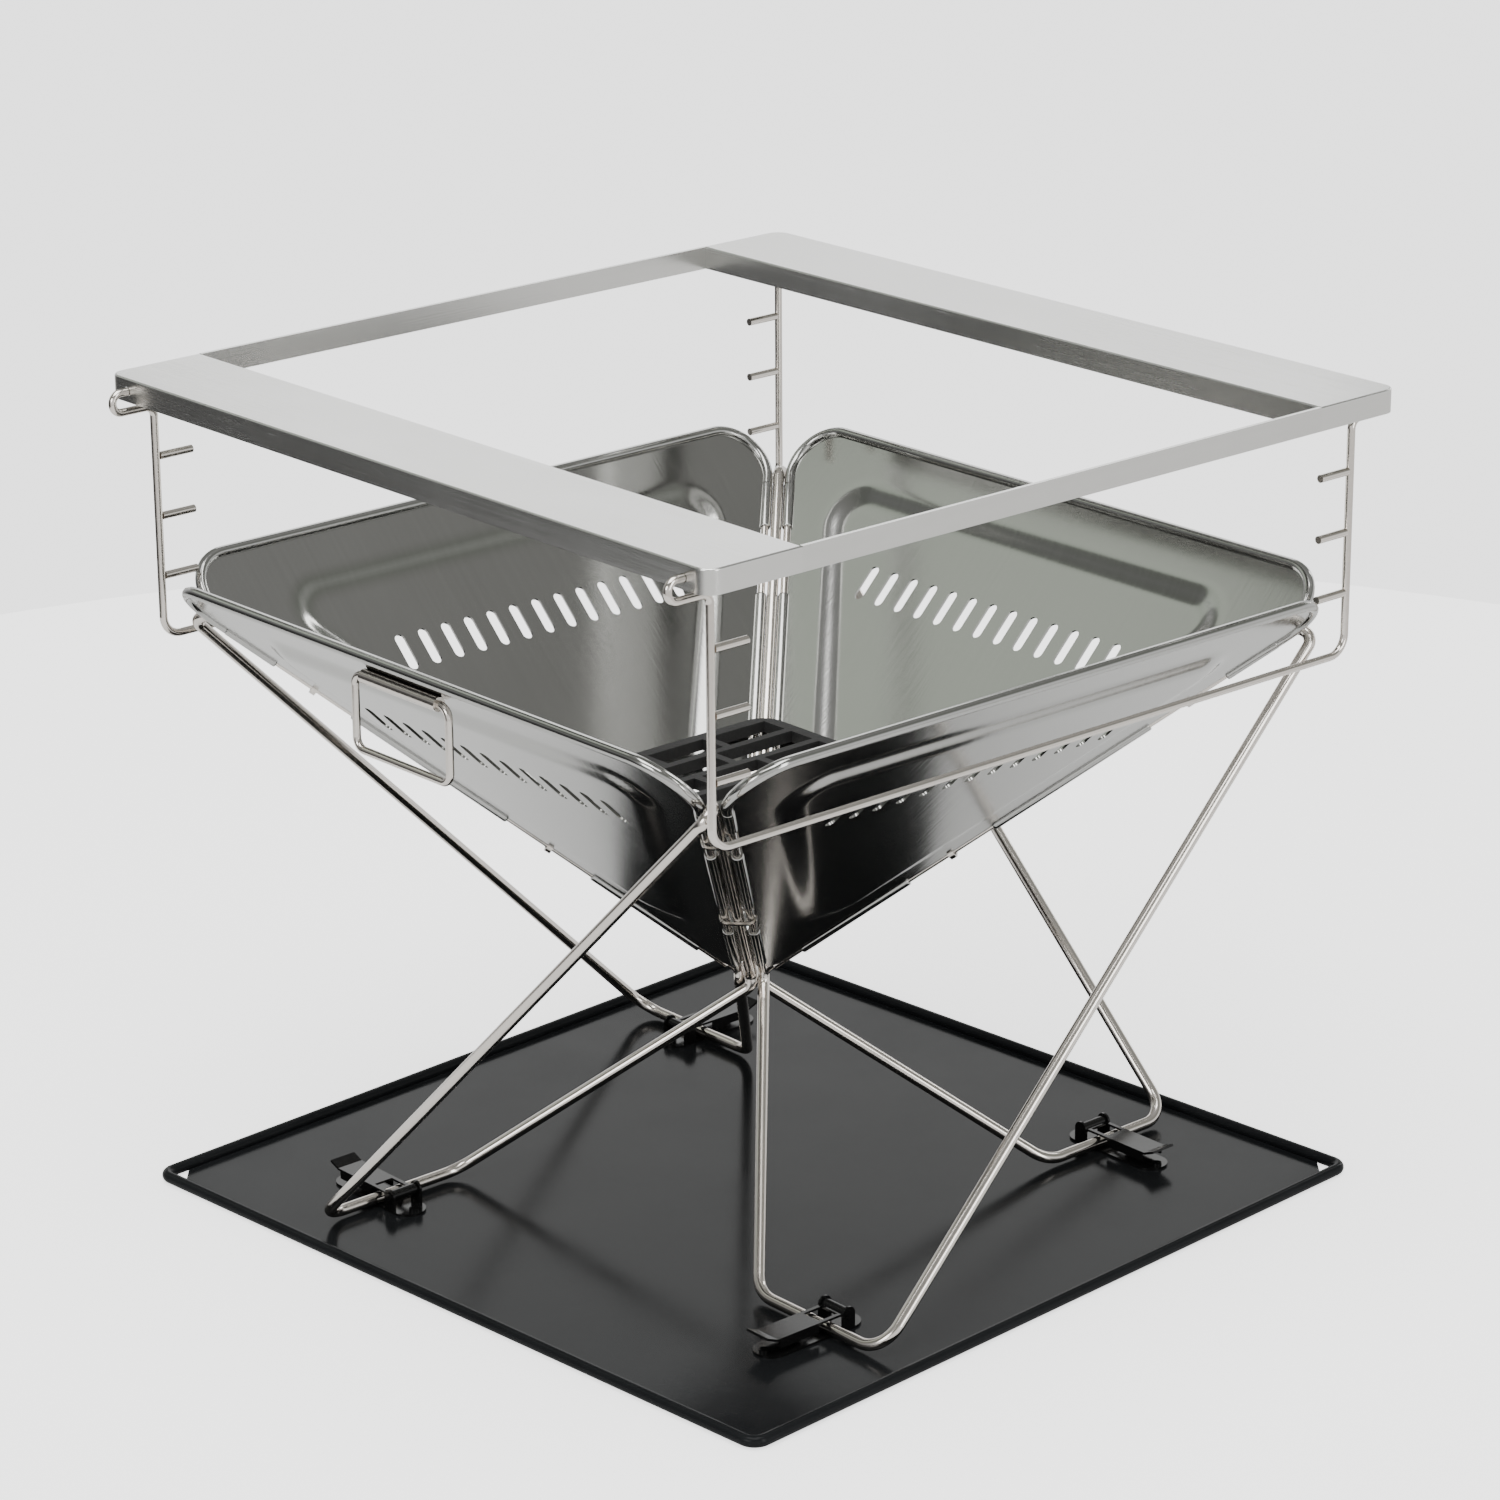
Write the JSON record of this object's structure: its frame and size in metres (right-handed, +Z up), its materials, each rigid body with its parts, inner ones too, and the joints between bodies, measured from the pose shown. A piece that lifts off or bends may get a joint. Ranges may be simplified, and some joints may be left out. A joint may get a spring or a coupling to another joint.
{
  "type": "fire pit with grate",
  "caption": "Folding square fire pit: a steel bowl shaped like an upturned pyramid on crossed wire legs, clipped to a ground tray, with a charcoal grate and a hooked grill frame.",
  "frame": {"origin": "bottom centre of the ground tray, under the bowl's axis", "axes": "+Z up, -Y towards the carry handle, the two wide shelves run along X"},
  "size_m": [0.4634, 0.466, 0.425],
  "materials": {
    "bowl_sheet": "bright rolled stainless, softly brushed",
    "brushed_shelf": "fine brushed stainless along the length",
    "polished_wire": "electropolished stainless wire",
    "black_tray": "satin black powder coat",
    "black_latch": "gloss black plating",
    "cast_iron": "black, slightly rough casting"
  },
  "bodies": {
    "stand": {"back_latch_base": "black_latch", "back_left_corner_links": "polished_wire", "back_left_leg_wire": "polished_wire", "back_panel": "bowl_sheet", "back_panel_wire": "polished_wire", "back_right_corner_links": "polished_wire", "back_right_leg_wire": "polished_wire", "front_latch_base": "black_latch", "front_left_corner_links": "polished_wire", "front_left_leg_wire": "polished_wire", "front_panel": "bowl_sheet", "front_panel_wire": "polished_wire", "front_right_corner_links": "polished_wire", "front_right_leg_wire": "polished_wire", "ground_tray": "black_tray", "handle_tube": "polished_wire", "latch_pins": "black_latch", "latch_rivets": "black_latch", "left_latch_base": "black_latch", "left_panel": "bowl_sheet", "left_panel_wire": "polished_wire", "right_latch_base": "black_latch", "right_panel": "bowl_sheet", "right_panel_wire": "polished_wire", "tray_rim_wire": "black_tray"},
    "charcoal_grate": {"charcoal_grate": "cast_iron"},
    "carry_handle": {"handle_bail": "polished_wire"},
    "grill_frame": {"front_shelf": "brushed_shelf", "back_shelf": "brushed_shelf", "right_frame_bar": "brushed_shelf", "left_frame_bar": "brushed_shelf"},
    "right_rack": {"right_grill_rack": "polished_wire", "right_rack_pegs": "polished_wire"},
    "left_rack": {"left_grill_rack": "polished_wire", "left_rack_pegs": "polished_wire"},
    "front_latch": {"front_latch_lever": "black_latch"},
    "right_latch": {"right_latch_lever": "black_latch"},
    "back_latch": {"back_latch_lever": "black_latch"},
    "left_latch": {"left_latch_lever": "black_latch"}
  },
  "joints": [
    {"name": "grate_lift", "type": "slide", "parent": "stand", "child": "charcoal_grate", "axis": [0, 0, 1], "range_m": [0, 0.25]},
    {"name": "grill_frame_lift", "type": "slide", "parent": "stand", "child": "grill_frame", "axis": [0, 0, 1], "range_m": [0, 0.02]},
    {"name": "right_rack_swing", "type": "hinge", "parent": "grill_frame", "child": "right_rack", "pos_m": [0.209, 0, 0.4185], "axis": [0, -1, 0], "range_deg": [0, 38]},
    {"name": "left_rack_swing", "type": "hinge", "parent": "grill_frame", "child": "left_rack", "pos_m": [-0.209, 0, 0.4185], "axis": [0, 1, 0], "range_deg": [0, 38]},
    {"name": "handle_swing", "type": "hinge", "parent": "stand", "child": "carry_handle", "pos_m": [-0.01, -0.2102, 0.31041], "axis": [-1, 0, 0], "range_deg": [-38, 130]},
    {"name": "front_latch_open", "type": "hinge", "parent": "stand", "child": "front_latch", "pos_m": [0.16, -0.088, 0.0099], "axis": [-1, 0, 0], "range_deg": [0, 100]},
    {"name": "right_latch_open", "type": "hinge", "parent": "stand", "child": "right_latch", "pos_m": [0.088, 0.16, 0.0099], "axis": [0, -1, 0], "range_deg": [0, 100]},
    {"name": "back_latch_open", "type": "hinge", "parent": "stand", "child": "back_latch", "pos_m": [-0.16, 0.088, 0.0099], "axis": [1, 0, 0], "range_deg": [0, 100]},
    {"name": "left_latch_open", "type": "hinge", "parent": "stand", "child": "left_latch", "pos_m": [-0.088, -0.16, 0.0099], "axis": [0, 1, 0], "range_deg": [0, 100]}
  ]
}
